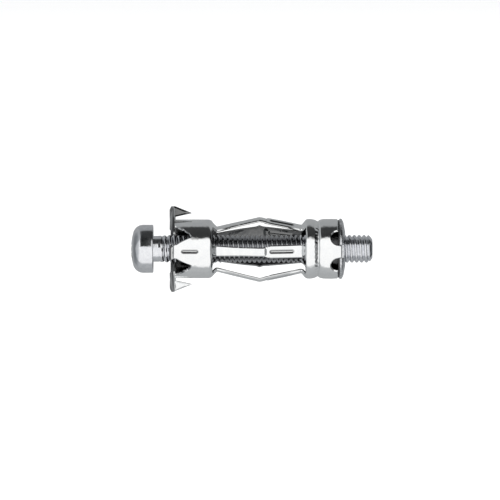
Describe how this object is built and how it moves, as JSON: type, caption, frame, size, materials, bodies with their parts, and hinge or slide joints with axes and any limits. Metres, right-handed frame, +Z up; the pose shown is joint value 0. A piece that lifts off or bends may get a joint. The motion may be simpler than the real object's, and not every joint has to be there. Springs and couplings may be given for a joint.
{
  "type": "wall anchor",
  "caption": "Hollow-wall anchor: toothed flange, folding slotted sheet-metal sleeve with crimped nut, and a pan-head machine screw through it.",
  "frame": {"origin": "on the anchor's axis, in the plane of the flange face that rests on the wall: the mouth of the drilled hole", "axes": "+X along the axis from the screw head to the nut, into the wall; -Y through the first leg; +Z up"},
  "size_m": [0.0496, 0.0178, 0.0178],
  "materials": {
    "sleeve_zinc": "bright zinc plate on rolled sheet steel",
    "nut_zinc": "zinc plate, slightly mottled",
    "screw_zinc": "zinc plate on a rolled machine screw"
  },
  "bodies": {
    "sleeve_front": {"flange_barrel": "sleeve_zinc"},
    "screw": {"machine_screw": "screw_zinc"},
    "leg_1_front": {"leg_1_front": "sleeve_zinc"},
    "leg_1_rear": {"leg_1_rear": "sleeve_zinc"},
    "leg_2_front": {"leg_2_front": "sleeve_zinc"},
    "leg_2_rear": {"leg_2_rear": "sleeve_zinc"},
    "leg_3_front": {"leg_3_front": "sleeve_zinc"},
    "leg_3_rear": {"leg_3_rear": "sleeve_zinc"},
    "leg_4_front": {"leg_4_front": "sleeve_zinc"},
    "leg_4_rear": {"leg_4_rear": "sleeve_zinc"},
    "leg_5_front": {"leg_5_front": "sleeve_zinc"},
    "leg_5_rear": {"leg_5_rear": "sleeve_zinc"},
    "rear_collar": {"rear_collar": "sleeve_zinc", "end_nut": "nut_zinc"}
  },
  "joints": [
    {"name": "screw_turn", "type": "hinge", "parent": "sleeve_front", "child": "screw", "pos_m": [0, 0, 0], "axis": [1, 0, 0], "continuous": true},
    {"name": "leg_1_front_fold", "type": "hinge", "parent": "sleeve_front", "child": "leg_1_front", "pos_m": [0.0096, -0.00468, 0], "axis": [0, 0, -1], "range_deg": [0, 65]},
    {"name": "leg_1_rear_fold", "type": "hinge", "parent": "leg_1_front", "child": "leg_1_rear", "pos_m": [0.01792, -0.00655, 0], "axis": [0, 0, -1], "range_deg": [-130, 0]},
    {"name": "leg_2_front_fold", "type": "hinge", "parent": "sleeve_front", "child": "leg_2_front", "pos_m": [0.0096, -0.00145, 0.00445], "axis": [0, -0.9511, -0.309], "range_deg": [0, 65]},
    {"name": "leg_2_rear_fold", "type": "hinge", "parent": "leg_2_front", "child": "leg_2_rear", "pos_m": [0.01792, -0.00202, 0.00623], "axis": [0, -0.9511, -0.309], "range_deg": [-130, 0]},
    {"name": "leg_3_front_fold", "type": "hinge", "parent": "sleeve_front", "child": "leg_3_front", "pos_m": [0.0096, 0.00413, 0.0022], "axis": [0, -0.4695, 0.8829], "range_deg": [0, 65]},
    {"name": "leg_3_rear_fold", "type": "hinge", "parent": "leg_3_front", "child": "leg_3_rear", "pos_m": [0.01792, 0.00578, 0.00308], "axis": [0, -0.4695, 0.8829], "range_deg": [-130, 0]},
    {"name": "leg_4_front_fold", "type": "hinge", "parent": "sleeve_front", "child": "leg_4_front", "pos_m": [0.0096, 0.00413, -0.0022], "axis": [0, 0.4695, 0.8829], "range_deg": [0, 65]},
    {"name": "leg_4_rear_fold", "type": "hinge", "parent": "leg_4_front", "child": "leg_4_rear", "pos_m": [0.01792, 0.00578, -0.00308], "axis": [0, 0.4695, 0.8829], "range_deg": [-130, 0]},
    {"name": "leg_5_front_fold", "type": "hinge", "parent": "sleeve_front", "child": "leg_5_front", "pos_m": [0.0096, -0.00145, -0.00445], "axis": [0, 0.9511, -0.309], "range_deg": [0, 65]},
    {"name": "leg_5_rear_fold", "type": "hinge", "parent": "leg_5_front", "child": "leg_5_rear", "pos_m": [0.01792, -0.00202, -0.00623], "axis": [0, 0.9511, -0.309], "range_deg": [-130, 0]},
    {"name": "collar_level", "type": "hinge", "parent": "leg_1_rear", "child": "rear_collar", "pos_m": [0.02624, -0.00468, 0], "axis": [0, 0, -1], "range_deg": [0, 65]}
  ],
  "couplings": [
    {"joint": "leg_1_rear_fold", "follows": "leg_1_front_fold", "ratio": -2},
    {"joint": "leg_2_front_fold", "follows": "leg_1_front_fold", "ratio": 1},
    {"joint": "leg_2_rear_fold", "follows": "leg_1_front_fold", "ratio": -2},
    {"joint": "leg_3_front_fold", "follows": "leg_1_front_fold", "ratio": 1},
    {"joint": "leg_3_rear_fold", "follows": "leg_1_front_fold", "ratio": -2},
    {"joint": "leg_4_front_fold", "follows": "leg_1_front_fold", "ratio": 1},
    {"joint": "leg_4_rear_fold", "follows": "leg_1_front_fold", "ratio": -2},
    {"joint": "leg_5_front_fold", "follows": "leg_1_front_fold", "ratio": 1},
    {"joint": "leg_5_rear_fold", "follows": "leg_1_front_fold", "ratio": -2},
    {"joint": "collar_level", "follows": "leg_1_front_fold", "ratio": 1}
  ]
}
